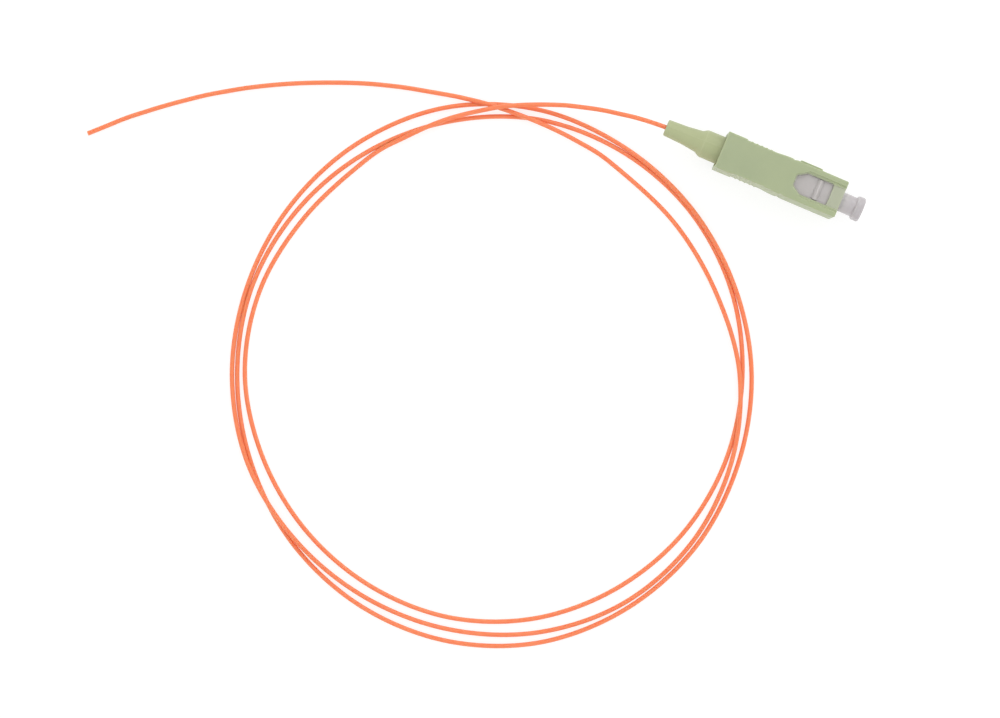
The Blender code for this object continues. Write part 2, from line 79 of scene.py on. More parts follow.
# Route of the fibre from the boot to where its turns begin
LEAD_ROUTE = [
    (-26.0, -0.1, 4.4), (-28.5, -0.3, 4.2), (-30.9, -0.6, 4.0), (-33.2, -1.0, 3.7), (-35.6, -1.4, 3.4),
    (-37.9, -1.9, 3.1), (-40.2, -2.5, 2.8), (-42.4, -3.1, 2.5), (-44.0, -3.6, 2.35), (-48.3, -5.3, 2.3),
    (-52.6, -7.3, 2.25), (-56.6, -9.6, 2.15), (-63.8, -14.9, 1.65), (-69.9, -21.2, 1.1),
]

# The three loose turns: radius at every 20 degrees, from the first turn's start to the third's end
COIL_CENTRE = (-36.3, -57.4)
TURN_STEP = math.radians(20)
TURN_START = math.radians(120) + PLUG_TURN
TURN_RADII = [
    48.7, 47.8, 48.2, 48.2, 47.5, 47.3, 47.5, 48.0, 48.2, 48.2, 48.4, 48.6, 48.9, 49.6, 50.2, 50.5, 50.7, 50.2,
    49.9, 49.8, 49.9, 49.7, 50.0, 50.9, 51.8, 52.6, 53.0, 52.6, 52.0, 51.1, 50.7, 50.4, 50.7, 51.4, 52.6, 53.0,
    52.3, 51.4, 50.8, 50.7, 50.6, 50.0, 49.9, 50.3, 51.0, 51.4, 50.9, 49.7, 48.3, 46.6, 46.4, 47.4,
]

# Where a turn passes over another: the angle it has run through, half the hump's width, and its rise
HUMPS = [
    (math.radians(638), math.radians(45), 0.80),
    (math.radians(809), math.radians(45), 0.90),
    (math.radians(955), math.radians(40), 0.90),
]

# Route of the fibre from its turns to its cut end
TAIL_ROUTE = [
    (-38.8, -8.9, 0.9), (-47.5, -8.5, 1.35), (-56.8, -9.0, 1.35), (-63.0, -9.9, 0.8), (-65.9, -10.5, 0.7),
    (-69.8, -11.4, 0.55), (-73.6, -12.3, 0.5), (-77.4, -13.4, 0.5), (-81.1, -14.6, 0.5), (-84.8, -16.0, 0.5),
    (-88.4, -17.5, 0.5), (-92.0, -19.1, 0.5), (-95.5, -20.8, 0.5), (-98.9, -22.6, 0.5), (-102.4, -24.6, 0.5),
    (-105.7, -26.7, 0.5), (-109.0, -28.9, 0.5), (-112.2, -31.3, 0.5), (-115.4, -33.8, 0.5), (-118.5, -36.4, 0.5),
    (-121.6, -39.1, 0.5), (-124.6, -42.1, 0.5), (-127.3, -44.8, 0.5),
]

# Roundness
ARC_STEP = math.radians(15)
ARC_SHARE = 0.48
TURNED_SIDES = 96
SMALL_SIDES = 48
CURVE_STEPS = 16
EDGE_ANGLE = math.radians(30)
EDGE_ROUND = 0.05
EDGE_SEGMENTS = 2
EDGE_MARK = "edge"
EDGE_TURN = math.radians(9)
EDGE_REACH = 0.6
CUT_MARGIN = 1.0
SAME_PLACE = 0.002
FLAT_ANGLE = math.radians(0.5)

# Surfaces
NOISE_ROUGHNESS = 0.55
NOISE_RANGE = (0.3, 0.7)
PATCH_STOPS = (0.35, 0.65)
PATCH_DETAIL = 3.0
# Painted highlight on rounded edges: its strength varies in spots this many times finer than the colour patches
HIGHLIGHT_SPOTS_PER_PATCH = 8
GLOSS_PER_PATCH = 5
# Painted highlight on rounded edges: the range of its strength
EDGE_HIGHLIGHT_RANGE = (0.35, 0.9)
GLOSS_DRIFT = 0.06
GRAIN_STRENGTH = 0.6

# Grip, the outer push-pull housing
GRIP_CORNER_ROUND = 0.3
GRIP_FRONT_ROUND = 0.35
GRIP_WIDTH = 7.4
RECESS_DEPTH = 0.2
RECESS_FROM_REAR = 3.8
RECESS_LENGTH = 6.2
RECESS_RAMP = 2.5
RIB_COUNT = 5
RIB_WIDTH = 0.5
RIB_DRAFT = 0.12
RIB_PITCH = 1.0
RIB_RISE = 0.1
NOTCH_FROM_RAMP = 0.7
NOTCH_LENGTH = 1.1
NOTCH_DEPTH = 0.15
KEY_FROM_FRONT = 5.3
KEY_LENGTH = 4.6
KEY_WIDTH = 2.4
KEY_NOSE = 0.2
WINDOW_FROM_FRONT = 2.4
WINDOW_LENGTH = 7.25
WINDOW_WIDTH = 4.3
WINDOW_CORNER_ROUND = 0.5
WINDOW_LIP = 0.3
WINDOW_POINT_LENGTH = 1.8
WINDOW_POINT_WIDTH = 2.0
CHANNEL_WIDTH = 5.3
CHANNEL_DEPTH = 0.3
CHANNEL_SLOPE = 0.15
BRIDGE_DEPTH = 0.5
BRIDGE_SLOPE = 0.15
CAVITY_WIDTH = 6.1
CAVITY_HEIGHT = 7.1
CAVITY_CORNER_ROUND = 0.3
MOUTH_CHAMFER = 0.15
LEDGE_FROM_REAR = 8.5
LEDGE_LENGTH = 3.0
LEDGE_WIDTH = 2.4
LEDGE_RISE = 0.4
# Painted light on the grip: a paler colour about the windows, a glow standing for light through the thin plastic, and
# the fades of its patch
PAINTED_GLOW_COLOUR = (0.443, 0.47, 0.352)
GLOW_SIDE_FADE = 0.2
GLOW_TOP_MARGIN = 0.05
GLOW_TOP_FADE = 0.15

# Inner housing
HOUSING_HEIGHT = 6.8
HOUSING_CHAMFER = 0.5
HOUSING_BORE = 4.7
BORE_CHAMFER = 0.3
SHOULDER_BACK = 7.3
SHOULDER_THICKNESS = 1.0
SHOULDER_HOLE = 2.9
LATCH_BACK = 2.95
LATCH_LENGTH = 1.4
LATCH_WIDTH = 4.0
LATCH_RAMP = 0.6
LATCH_FILLET = 0.6
GROOVE_FROM_REAR = 1.55
GROOVE_LENGTH = 5.1
GROOVE_WIDTH = 2.7

# Ferrule, its collar and spring
FERRULE_DOME = 0.08
FERRULE_DOME_STEPS = 6
FERRULE_TAPER = 0.6
FERRULE_TIP_SHARE = 0.72
COLLAR_THICKNESS = 1.6
COLLAR_ROUND = 0.1
COLLAR_TAIL_DIAMETER = 2.1
COLLAR_NOTCHES = 4
COLLAR_NOTCH_WIDTH = 0.7
COLLAR_NOTCH_DEPTH = 0.35
FIBRE_BORE = 1.3
FERRULE_SOCKET = 2.8
SOCKET_GAP = 0.15
SPRING_WIRE = 0.5
SPRING_TURNS = 6.0
SPRING_CLOSED_TURNS = 0.9
SPRING_POINTS_PER_TURN = 36
SPRING_WIRE_SIDES = 12

# Rear stop
STOP_PLUG_DIAMETER = 4.3
STOP_PLUG_LENGTH = 3.9
STOP_COLLAR_THICKNESS = 0.6
STOP_BARREL_DIAMETER = 3.4
STOP_ROUND = 0.08
STOP_RING_COUNT = 4
STOP_RING_PITCH = 0.9
STOP_RING_DEPTH = 0.15
STOP_RING_LENGTH = 0.6
STOP_RING_FIRST = 0.4

# Boot
BOOT_STEP_DIAMETER = 5.5
BOOT_STEP_FROM_END = 7.9
BOOT_STEP_RAMP = 1.0
BOOT_NECK_DIAMETER = 4.35
BOOT_WAIST_FROM_END = 4.0
BOOT_WAIST_DIAMETER = 3.65
BOOT_END_DIAMETER = 3.25
BOOT_WALL_GAP = 0.15
BOOT_POCKET_LENGTH = 4.6
SEAM_WALL = 0.15
SEAM_RISE = 0.06
SEAM_ANGLE = math.radians(7.5)

# Dust cap
CAP_BARREL_DIAMETER = 3.85
CAP_FLANGE_LENGTH = 1.65
CAP_CHAMFER = 0.25
CAP_BORE = 2.8
CAP_BORE_DEPTH = 6.4
CAP_DISH_DIAMETER = 2.6
CAP_DISH_DEPTH = 0.25
# The flange's colour, darker than the barrel, whose paler tone is partly the ferrule showing through and partly
# painted light
CAP_SOLID_COLOUR = (0.485, 0.46, 0.47)
# Painted shade on the cap's front rim, to dull its lit edge
CAP_RIM_SHADE_COLOUR = (0.41, 0.385, 0.395)
# Painted light at the grip's mouth, over the shade next to the grip's front, and how far forward it fades
CAP_MOUTH_LIGHT_COLOUR = (0.68, 0.65, 0.65)
CAP_MOUTH_LIGHT_FADE = 2.0
CAP_SOLID_FADE = 0.3
CAP_RIM_FROM_END = 0.8
CAP_RIM_FULL_FROM_END = 0.2

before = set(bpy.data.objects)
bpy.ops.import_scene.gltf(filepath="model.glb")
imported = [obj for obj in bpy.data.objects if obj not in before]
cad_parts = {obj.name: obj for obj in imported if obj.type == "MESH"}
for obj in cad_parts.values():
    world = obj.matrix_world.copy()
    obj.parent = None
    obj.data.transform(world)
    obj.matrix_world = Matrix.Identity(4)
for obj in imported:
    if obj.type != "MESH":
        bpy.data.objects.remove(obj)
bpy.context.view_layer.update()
PLUG_AXIS = sum(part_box("ferrule"), Vector()) * 0.5
PLUG_AXIS.x = 0.0


def span(node):
    """The lowest and highest x, y and z of a CAD node, in millimetres about the plug's axis."""
    low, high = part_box(node)
    return [(a / MM, b / MM) for a, b in zip(low - PLUG_AXIS, high - PLUG_AXIS)]


def make_camera():
    """A level-headed camera straight above, turned so that the plug lies as in the photograph."""
    cos_turn, sin_turn = math.cos(PLUG_TURN), math.sin(PLUG_TURN)
    across, up = (-coordinate for coordinate in GRIP_IN_PHOTO)
    data = bpy.data.cameras.new("camera")
    data.sensor_width = SENSOR_WIDTH
    data.lens = PIXELS_PER_MM * CAMERA_HEIGHT / IMAGE_WIDTH * SENSOR_WIDTH
    data.clip_start, data.clip_end = CLIP_RANGE[0] * MM, CLIP_RANGE[1] * MM
    camera = bpy.data.objects.new("camera", data)
    place = Vector((across * cos_turn - up * sin_turn, across * sin_turn + up * cos_turn, CAMERA_HEIGHT))
    camera.location = place * MM
    camera.rotation_euler = (0.0, 0.0, PLUG_TURN)
    bpy.context.collection.objects.link(camera)
    bpy.context.scene.camera = camera


def add_node(surface, kind, **inputs):
    """One more node of a material or world, with values for its inputs."""
    node = surface.node_tree.nodes.new(kind)
    for name, value in inputs.items():
        node.inputs[name.replace("_", " ")].default_value = value
    return node


def connect(surface, source, target):
    """Links an output to an input."""
    surface.node_tree.links.new(source, target)


def make_floor():
    """A plain white floor that glows a little, as a light table does."""
    bpy.ops.mesh.primitive_plane_add(size=FLOOR_SIZE, location=FLOOR_MIDDLE)
    floor = bpy.context.object
    floor.name = "floor"
    surface, shader = start_material("floor_white", FLOOR_ROUGHNESS)
    shader.inputs["Base Color"].default_value = (FLOOR_WHITE, FLOOR_WHITE, FLOOR_WHITE, 1.0)
    shader.inputs["Emission Color"].default_value = (1.0, 1.0, 1.0, 1.0)
    shader.inputs["Emission Strength"].default_value = FLOOR_GLOW
    floor.data.materials.append(surface)


def make_light():
    """A room that is bright overhead and dimmer at the horizon, and a broad lamp on the key's side."""
    world = bpy.data.worlds.new("studio")
    bpy.context.scene.world = world
    world.use_nodes = True
    background = world.node_tree.nodes["Background"]
    place = add_node(world, "ShaderNodeTexCoord")
    parts = add_node(world, "ShaderNodeSeparateXYZ")
    fade = add_node(
        world, "ShaderNodeMapRange", From_Max=SKY_FULL_FROM, To_Min=SKY_AT_HORIZON, To_Max=SKY_OVERHEAD
    )
    connect(world, place.outputs["Generated"], parts.inputs["Vector"])
    connect(world, parts.outputs["Z"], fade.inputs["Value"])
    connect(world, fade.outputs["Result"], background.inputs["Strength"])
    background.inputs["Color"].default_value = (1.0, 1.0, 1.0, 1.0)
    data = bpy.data.lights.new("key_lamp", "AREA")
    data.shape = "SQUARE"
    data.size = KEY_LAMP_SIZE
    data.energy = KEY_LAMP_POWER
    lamp = bpy.data.objects.new("key_lamp", data)
    lamp.location = KEY_LAMP_PLACE
    lamp.rotation_euler = (-lamp.location).to_track_quat("-Z", "Y").to_euler()
    bpy.context.collection.objects.link(lamp)
    bpy.context.scene.view_settings.view_transform = "Standard"


def start_material(name, roughness, **settings):
    """A material with its shader, ready for its colour and bump nodes."""
    surface = bpy.data.materials.new(name)
    surface.use_nodes = True
    shader = surface.node_tree.nodes["Principled BSDF"]
    shader.inputs["Roughness"].default_value = roughness
    for socket, value in settings.items():
        shader.inputs[socket.replace("_", " ")].default_value = value
    return surface, shader


def noise(surface, place, size, detail=2.0):
    """A noise with features of about that size in millimetres."""
    texture = add_node(
        surface, "ShaderNodeTexNoise", Scale=1.0 / (size * MM), Detail=detail, Roughness=NOISE_ROUGHNESS
    )
    connect(surface, place, texture.inputs["Vector"])
    return texture.outputs["Fac"]


def ramp(surface, value, *stops):
    """A value turned into colours between two stops, each a position and a colour."""
    node = add_node(surface, "ShaderNodeValToRGB")
    for element, (position, colour) in zip(node.color_ramp.elements, stops):
        element.position = position
        element.color = (*colour, 1.0)
    connect(surface, value, node.inputs["Fac"])
    return node.outputs["Color"]


def remap(surface, value, old, new):
    """A value brought from one range to another, and kept inside it."""
    node = add_node(surface, "ShaderNodeMapRange", From_Min=old[0], From_Max=old[1], To_Min=new[0], To_Max=new[1])
    connect(surface, value, node.inputs["Value"])
    return node.outputs["Result"]


def multiply(surface, first, second):
    """The product of two values."""
    node = add_node(surface, "ShaderNodeMath")
    node.operation = "MULTIPLY"
    connect(surface, first, node.inputs[0])
    connect(surface, second, node.inputs[1])
    return node.outputs["Value"]


def blend_colour(surface, share, first, second):
    """The first colour where the share is 0 and the second where it is 1."""
    node = surface.node_tree.nodes.new("ShaderNodeMix")
    node.data_type = "RGBA"
    connect(surface, share, node.inputs[0])
    connect(surface, first, node.inputs[6])
    node.inputs[7].default_value = (*second, 1.0)
    return node.outputs[2]


def finish_surface(name, colour, shade, edge, roughness, patch, grain, relief, **settings):
    """Moulded or drawn stuff: colour and gloss drift in patches, edges are painted paler towards the edge colour as a
    highlight, and the skin has a fine grain.

    The colour drifts to the shade in patches of the given size; the grain's size and relief are in millimetres too.
    """
    surface, shader = start_material(name, roughness, **settings)
    place = add_node(surface, "ShaderNodeTexCoord").outputs["Object"]
    patches = noise(surface, place, patch, PATCH_DETAIL)
    clouds = ramp(surface, patches, (PATCH_STOPS[0], colour), (PATCH_STOPS[1], shade))
    # Painted highlight: points marked as rounded edge are blended towards the paler edge colour, by a strength that
    # varies in spots
    bend = add_node(surface, "ShaderNodeAttribute")
    bend.attribute_name = EDGE_MARK
    highlight_strength = remap(surface, noise(surface, place, patch / HIGHLIGHT_SPOTS_PER_PATCH), NOISE_RANGE, EDGE_HIGHLIGHT_RANGE)
    painted_highlight = multiply(surface, bend.outputs["Fac"], highlight_strength)
    connect(surface, blend_colour(surface, painted_highlight, clouds, edge), shader.inputs["Base Color"])
    gloss_range = (roughness - GLOSS_DRIFT, roughness + GLOSS_DRIFT)
    gloss = remap(surface, noise(surface, place, patch / GLOSS_PER_PATCH), NOISE_RANGE, gloss_range)
    connect(surface, gloss, shader.inputs["Roughness"])
    bump = add_node(surface, "ShaderNodeBump", Strength=GRAIN_STRENGTH, Distance=relief * MM)
    connect(surface, noise(surface, place, grain), bump.inputs["Height"])
    connect(surface, bump.outputs["Normal"], shader.inputs["Normal"])
    return surface


def near_axis(surface, value, middle, reach, fade):
    """One where a coordinate is within reach of the middle, fading to nothing beyond it."""
    off = add_node(surface, "ShaderNodeMath")
    off.operation = "SUBTRACT"
    off.inputs[1].default_value = middle * MM
    size = add_node(surface, "ShaderNodeMath")
    size.operation = "ABSOLUTE"
    connect(surface, value, off.inputs[0])
    connect(surface, off.outputs["Value"], size.inputs[0])
    return remap(surface, size.outputs["Value"], (reach * MM, (reach + fade) * MM), (1.0, 0.0))


def colour_and_place(surface):
    """The shader's colour input, what feeds it so far, and the x, y and z of the place on the piece."""
    target = surface.node_tree.nodes["Principled BSDF"].inputs["Base Color"]
    parts = add_node(surface, "ShaderNodeSeparateXYZ")
    connect(surface, add_node(surface, "ShaderNodeTexCoord").outputs["Object"], parts.inputs["Vector"])
    return target, target.links[0].from_socket, parts.outputs


def grip_material():
    """Pale green-beige moulded plastic with a fine matt grain, painted paler about the windows' bridges and inner
    walls, a painted glow for light through the thin plastic.
    """
    surface = finish_surface(
        "beige_grip", (0.402, 0.457, 0.275), (0.382, 0.437, 0.267), (0.46, 0.51, 0.34), 0.45, 7.0, 0.12, 0.012,
        Subsurface_Weight=0.5, Subsurface_Scale=0.8 * MM, Subsurface_Radius=(1.0, 1.0, 0.8),
    )
    target, base_colour, place = colour_and_place(surface)
    # Painted glow: on the bridges and inner walls within the window's width, below the channel floors
    across = near_axis(surface, place["Y"], 0.0, WINDOW_WIDTH / 2, GLOW_SIDE_FADE)
    height = PLUG_AXIS.z / MM
    below = near_axis(surface, place["Z"], height, height - BRIDGE_DEPTH + GLOW_TOP_MARGIN, GLOW_TOP_FADE)
    glow_share = multiply(surface, across, below)
    connect(surface, blend_colour(surface, glow_share, base_colour, PAINTED_GLOW_COLOUR), target)
    return surface


def housing_material():
    """Milky inner plastic."""
    return finish_surface(
        "milky_housing", (0.553, 0.525, 0.52), (0.525, 0.5, 0.495), (0.57, 0.545, 0.54), 0.35, 4.0, 0.15, 0.006,
        Subsurface_Weight=1.0, Subsurface_Scale=0.8 * MM, Subsurface_Radius=(1.0, 1.0, 1.0),
    )


def boot_material():
    """Soft yellow-green rubber."""
    return finish_surface(
        "beige_boot", (0.425, 0.465, 0.25), (0.40, 0.44, 0.235), (0.455, 0.495, 0.28), 0.5, 5.0, 0.15, 0.015,
        Sheen_Weight=0.1,
    )


def cap_material():
    """Milky soft plastic that lets some light through. The barrel is painted paler than the flange, partly for the
    white ferrule showing through and partly as painted light against the shade about it. It is palest at the grip's
    mouth, as painted light over the shade there, and the front rim is painted darker as painted shade.
    """
    surface = finish_surface(
        "milky_cap", (0.58, 0.55, 0.56), (0.555, 0.525, 0.54), (0.59, 0.565, 0.58), 0.4, 3.0, 0.2, 0.01,
        Subsurface_Weight=1.0, Subsurface_Scale=2.5 * MM, Subsurface_Radius=(1.0, 1.0, 1.0),
    )
    target, pale, place = colour_and_place(surface)
    mouth, end = span("grip")[0][1], span("dust_cap")[0][1]
    solid_from = end - CAP_FLANGE_LENGTH
    # Painted light: palest at and inside the grip's mouth, fading out forward, over the shade next to the grip's
    # front
    deep = remap(surface, place["X"], (mouth * MM, (mouth + CAP_MOUTH_LIGHT_FADE) * MM), (1.0, 0.0))
    barrel = blend_colour(surface, deep, pale, CAP_MOUTH_LIGHT_COLOUR)
    # The flange is darker than the barrel, whose paler tone is partly the ferrule showing through and partly painted
    # light
    solid = remap(surface, place["X"], (solid_from * MM, (solid_from + CAP_SOLID_FADE) * MM), (0.0, 1.0))
    flange = blend_colour(surface, solid, barrel, CAP_SOLID_COLOUR)
    # Painted shade: the colour darkens towards the front rim to dull its lit edge
    rim_run = ((end - CAP_RIM_FROM_END) * MM, (end - CAP_RIM_FULL_FROM_END) * MM)
    rim = remap(surface, place["X"], rim_run, (0.0, 1.0))
    connect(surface, blend_colour(surface, rim, flange, CAP_RIM_SHADE_COLOUR), target)
    return surface


def stop_material():
    """The rear stop's plastic, a little duller than the grip's."""
    return finish_surface(
        "beige_stop", (0.35, 0.40, 0.24), (0.32, 0.37, 0.22), (0.42, 0.47, 0.30), 0.5, 4.0, 0.12, 0.012,
    )


def zirconia_material():
    """Polished white ceramic."""
    return finish_surface(
        "zirconia", (0.84, 0.84, 0.81), (0.80, 0.80, 0.78), (0.88, 0.88, 0.86), 0.14, 2.0, 0.05, 0.001,
        Coat_Weight=0.3,
    )


def nickel_material():
    """Turned and plated metal with faint tool marks."""
    return finish_surface(
        "nickel_plate", (0.62, 0.60, 0.56), (0.56, 0.54, 0.50), (0.72, 0.70, 0.66), 0.24, 1.5, 0.08, 0.004,
        Metallic=1.0,
    )


def spring_material():
    """Bright drawn wire."""
    return finish_surface(
        "spring_wire", (0.55, 0.55, 0.56), (0.48, 0.48, 0.50), (0.65, 0.65, 0.66), 0.28, 1.0, 0.06, 0.003,
        Metallic=1.0,
    )


def fibre_material():
    """Smooth orange buffer with a drawn skin."""
    return finish_surface(
        "orange_buffer", (0.87, 0.262, 0.109), (0.84, 0.249, 0.103), (0.87, 0.262, 0.109), 0.38, 9.0, 0.3, 0.006,
        Subsurface_Weight=0.9, Subsurface_Scale=0.9 * MM, Subsurface_Radius=(1.0, 0.6, 0.4),
    )


def glass_material():
    """The cut face of the glass fibre in its clear coating."""
    return finish_surface(
        "cut_glass", (0.75, 0.78, 0.80), (0.66, 0.70, 0.73), (0.85, 0.87, 0.88), 0.12, 0.05, 0.01, 0.0005,
        Coat_Weight=0.5,
    )


def add_mesh(name, points, faces):
    """A mesh object from points in millimetres about the plug's axis."""
    mesh = bpy.data.meshes.new(name)
    mesh.from_pydata([Vector(point) * MM + PLUG_AXIS for point in points], [], faces)
    work = bmesh.new()
    work.from_mesh(mesh)
    bmesh.ops.recalc_face_normals(work, faces=work.faces)
    work.to_mesh(mesh)
    work.free()
    piece = bpy.data.objects.new(name, mesh)
    bpy.context.collection.objects.link(piece)
    return piece


def loft(name, rings):
    """A closed solid through rings with the same number of points."""
    n = len(rings[0])
    faces = []
    for k in range(len(rings) - 1):
        for i in range(n):
            j = (i + 1) % n
            faces.append((k * n + i, k * n + j, (k + 1) * n + j, (k + 1) * n + i))
    last = (len(rings) - 1) * n
    caps = [tuple(range(n)), tuple(range(last, last + n))]
    return add_mesh(name, [point for ring in rings for point in ring], faces + caps)


def upward(x, y, z):
    """Places a plan outline, carried up."""
    return x, y, z


def forward(y, z, x):
    """Places a cross-section, carried along the plug."""
    return x, y, z


def sideways(x, z, y):
    """Places a side view, carried across the plug."""
    return x, y, z


def prism(name, outline, low, high, place):
    """An outline drawn in two coordinates and carried from low to high along the third."""
    return loft(name, [[place(a, b, level) for a, b in outline] for level in (low, high)])


def flared(name, outlines, levels, place):
    """Like a prism, but with an outline of its own at each level."""
    return loft(name, [[place(a, b, level) for a, b in outline] for outline, level in zip(outlines, levels)])


def block(name, x_range, y_range, z_range):
    """A box between pairs of low and high values."""
    (x0, x1), (y0, y1) = x_range, y_range
    return prism(name, [(x0, y0), (x1, y0), (x1, y1), (x0, y1)], *z_range, upward)


def turned(name, profile, sides=TURNED_SIDES):
    """A profile of (x, radius) points turned about the plug's axis; it ends on the axis or closes on itself."""
    points, rings = [], []
    for x, radius in profile:
        if radius == 0:
            rings.append([len(points)])
            points.append((x, 0.0, 0.0))
            continue
        rings.append(range(len(points), len(points) + sides))
        for i in range(sides):
            angle = math.tau * i / sides
            points.append((x, radius * math.cos(angle), radius * math.sin(angle)))
    closed = len(rings[0]) > 1
    pairs = list(zip(rings, rings[1:])) + ([(rings[-1], rings[0])] if closed else [])
    faces = []
    for first, second in pairs:
        for i in range(sides):
            near = [first[i % len(first)], first[(i + 1) % len(first)]]
            far = [second[(i + 1) % len(second)], second[i % len(second)]]
            faces.append(tuple(dict.fromkeys(near + far)))
    return add_mesh(name, points, faces)


def rounded(outline, radius, closed=True):
    """An outline with its corners drawn as curves; radius is one number, or one for each corner."""
    count = len(outline)
    radii = radius if isinstance(radius, list) else [radius] * count
    result = []
    for i, (place, size) in enumerate(zip(outline, radii)):
        corner = Vector(place)
        if size == 0 or (not closed and i in (0, count - 1)):
            result.append(tuple(corner))
            continue
        before = Vector(outline[i - 1]) - corner
        after = Vector(outline[(i + 1) % count]) - corner
        turn = math.pi - before.angle(after)
        reach = min(size * math.tan(turn / 2), ARC_SHARE * before.length, ARC_SHARE * after.length)
        start, end = corner + before.normalized() * reach, corner + after.normalized() * reach
        steps = max(1, round(turn / ARC_STEP))
        for k in range(steps + 1):
            t = k / steps
            result.append(tuple(start * (1 - t) ** 2 + corner * 2 * t * (1 - t) + end * t ** 2))
    return result


def rectangle(width, height):
    """A rectangle about the origin."""
    a, b = width / 2, height / 2
    return [(a, -b), (a, b), (-a, b), (-a, -b)]


def chamfered(width, height, chamfer):
    """A rectangle about the origin with its corners cut off."""
    a, b = width / 2, height / 2
    return [
        (a - chamfer, -b), (a, -b + chamfer), (a, b - chamfer), (a - chamfer, b),
        (-a + chamfer, b), (-a, b - chamfer), (-a, -b + chamfer), (-a + chamfer, -b),
    ]


def settle(piece):
    """Makes a piece's modifiers part of its mesh."""
    graph = bpy.context.evaluated_depsgraph_get()
    mesh = bpy.data.meshes.new_from_object(piece.evaluated_get(graph))
    piece.modifiers.clear()
    piece.data = mesh


def combine(piece, operation, helper):
    """Joins a helper solid to a piece or cuts it away, and removes the helper."""
    modifier = piece.modifiers.new("combine", "BOOLEAN")
    modifier.operation = operation
    modifier.object = helper
    modifier.solver = "EXACT"
    settle(piece)
    bpy.data.objects.remove(helper, do_unlink=True)


def soften(piece):
    """Rounds the sharp edges a little. Faces that ring the plug's axis are first quartered, so none has a hole."""
    work = bmesh.new()
    work.from_mesh(piece.data)
    bmesh.ops.remove_doubles(work, verts=work.verts, dist=SAME_PLACE * MM)
    bmesh.ops.dissolve_limit(work, angle_limit=FLAT_ANGLE, verts=work.verts, edges=work.edges)
    for across in ((0.0, 1.0, 0.0), (0.0, 0.0, 1.0)):
        everything = work.verts[:] + work.edges[:] + work.faces[:]
        bmesh.ops.bisect_plane(
            work, geom=everything, dist=SAME_PLACE * MM, plane_co=PLUG_AXIS, plane_no=across
        )
    work.to_mesh(piece.data)
    work.free()
    piece.data.shade_smooth()
    bevel = piece.modifiers.new("rounded_edges", "BEVEL")
    bevel.width = EDGE_ROUND * MM
    bevel.segments = EDGE_SEGMENTS
    bevel.limit_method = "ANGLE"
    bevel.angle_limit = EDGE_ANGLE
    bevel.use_clamp_overlap = False
    bevel.harden_normals = True
    bevel.material = 1
    for mark in ("face", "edge"):
        piece.data.materials.append(bpy.data.materials.new(mark))
    settle(piece)
    mark_edges(piece, [face.material_index == 1 for face in piece.data.polygons])


def mark_edges(piece, on_edge):
    """Marks the points that have nothing but rounded edge about them, where the colour is painted paler as a
    highlight.
    """
    marks = [1.0] * len(piece.data.vertices)
    for face, is_edge in zip(piece.data.polygons, on_edge):
        face.material_index = 0
        if not is_edge:
            for corner in face.vertices:
                marks[corner] = 0.0
    layer = piece.data.attributes.new(EDGE_MARK, "FLOAT", "POINT")
    layer.data.foreach_set("value", marks)


def even_shading(piece):
    """Smooth shading in which large faces stay flat, with the small outer edges marked for a painted highlight."""
    piece.data.shade_smooth()
    work = bmesh.new()
    work.from_mesh(piece.data)
    layer = work.verts.layers.float.new(EDGE_MARK)
    for vertex in work.verts:
        near = [edge for edge in vertex.link_edges if edge.is_convex and edge.calc_face_angle(0.0) > EDGE_TURN]
        if near and min(edge.calc_length() for edge in vertex.link_edges) < EDGE_REACH * MM:
            vertex[layer] = 1.0
    work.to_mesh(piece.data)
    work.free()
    normals = piece.modifiers.new("flat_faces", "WEIGHTED_NORMAL")
    normals.keep_sharp = True


def place_piece(piece, body, node, surface):
    """Gives a piece its material and its body, and hides the CAD node that it stands for."""
    piece.data.materials.clear()
    piece.data.materials.append(surface)
    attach(piece, body)
    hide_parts(node)
    return piece


def ribbed_side(rear):
    """One long side of the grip in plan, rear to front: its collar, its ribbed recess, the ramp and a notch."""
    out = GRIP_WIDTH / 2
    deep = out - RECESS_DEPTH
    start = rear + RECESS_FROM_REAR
    end = start + RECESS_LENGTH
    first = (start + end - (RIB_COUNT - 1) * RIB_PITCH) / 2
    side = [(rear, out), (start, out), (start + RIB_DRAFT, deep)]
    for i in range(RIB_COUNT):
        low = first + i * RIB_PITCH - RIB_WIDTH / 2
        high = low + RIB_WIDTH
        side += [(low, deep), (low + RIB_DRAFT, deep + RIB_RISE), (high - RIB_DRAFT, deep + RIB_RISE), (high, deep)]
    notch = end + RECESS_RAMP + NOTCH_FROM_RAMP
    side += [(end, deep), (end + RECESS_RAMP, out), (notch, out)]
    return side + [(notch + NOTCH_LENGTH / 2, out - NOTCH_DEPTH), (notch + NOTCH_LENGTH, out)]


def grip_plan(rear, front, inset):
    """The grip from above, drawn in by an inset at its sides and front, with a little radius on its front corners."""
    key_side = [(x, y - inset) for x, y in ribbed_side(rear) + [(front - inset, GRIP_WIDTH / 2)]]
    plain_side = [(x, -y) for x, y in key_side]
    plan = plain_side + key_side[::-1]
    radii = [0.0] * len(plan)
    radii[len(plain_side) - 1] = radii[len(plain_side)] = GRIP_FRONT_ROUND - inset
    return rounded(plan, radii)


def window_plan(front, wider=0.0):
    """The latch window: square with rounded corners in front, and drawn to a blunt point behind."""
    rear = front - WINDOW_LENGTH
    wide, narrow = WINDOW_WIDTH / 2 + wider, WINDOW_POINT_WIDTH / 2 + wider / 2
    key_side = [(rear - wider, narrow), (rear + WINDOW_POINT_LENGTH - wider / 2, wide), (front + wider, wide)]
    return rounded([(x, -y) for x, y in key_side] + key_side[::-1], WINDOW_CORNER_ROUND + wider)


def trough(width, slope, floor, brim, above):
    """The cross-section of a shallow channel whose side walls lean out, as wide as named halfway up them."""
    low, high = (width - slope) / 2, (width + slope) / 2
    top = high + slope * (above - brim) / (brim - floor)
    return [(-low, floor), (low, floor), (top, above), (-top, above)]


